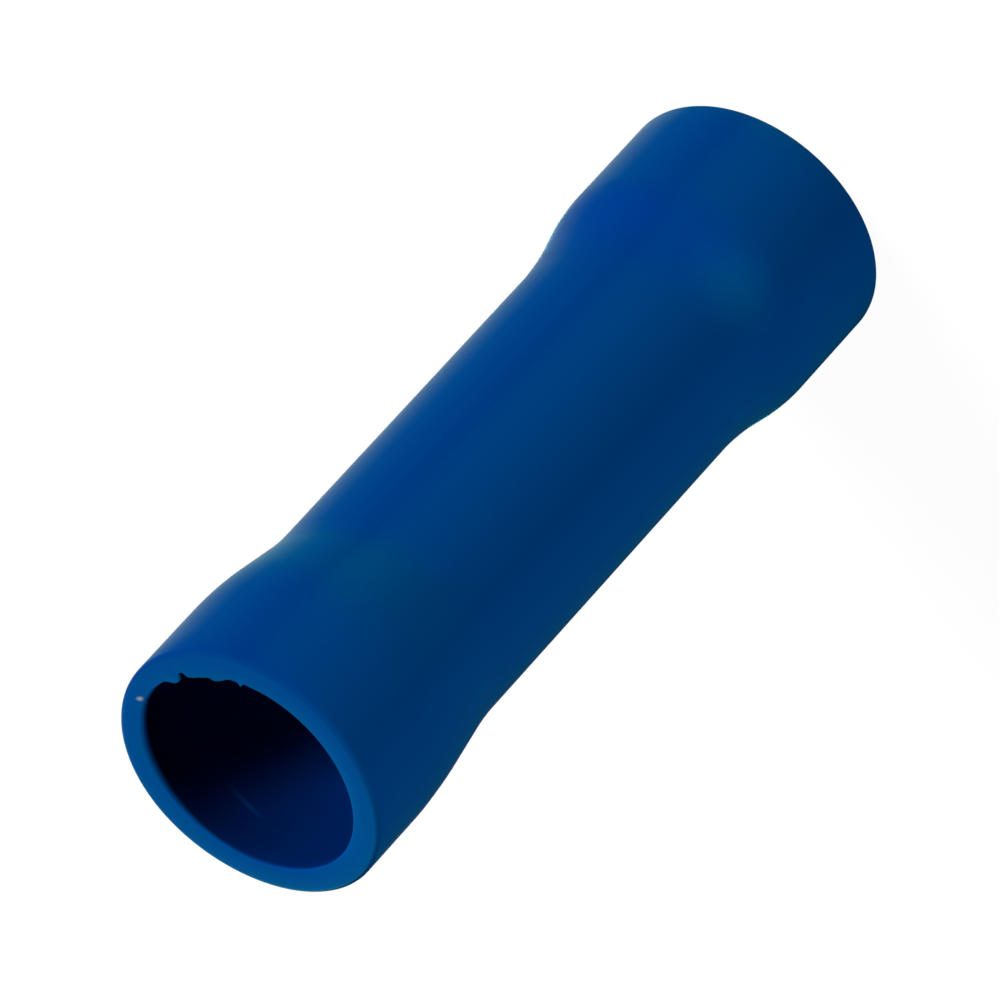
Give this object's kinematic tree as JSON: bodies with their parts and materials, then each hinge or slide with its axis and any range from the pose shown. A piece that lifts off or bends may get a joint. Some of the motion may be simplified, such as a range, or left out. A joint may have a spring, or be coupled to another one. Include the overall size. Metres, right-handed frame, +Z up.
{
  "type": "butt splice connector",
  "caption": "Insulated butt splice connector: a blue plastic sleeve with a slim waist and flared open ends over a crimp barrel that joins wires end to end.",
  "frame": {"origin": "middle of the flared end that the connector stands on", "axes": "+Z up along the tube's axis towards the other flared end; X and Y are free, because the part is round"},
  "size_m": [0.0078, 0.0078, 0.025],
  "materials": {
    "sleeve_vinyl": "satin moulded PVC in deep blue",
    "tinned_copper": "dull electroplated tin over copper"
  },
  "bodies": {
    "root": {"insulation_sleeve": "sleeve_vinyl", "crimp_barrel": "tinned_copper"}
  },
  "joints": []
}
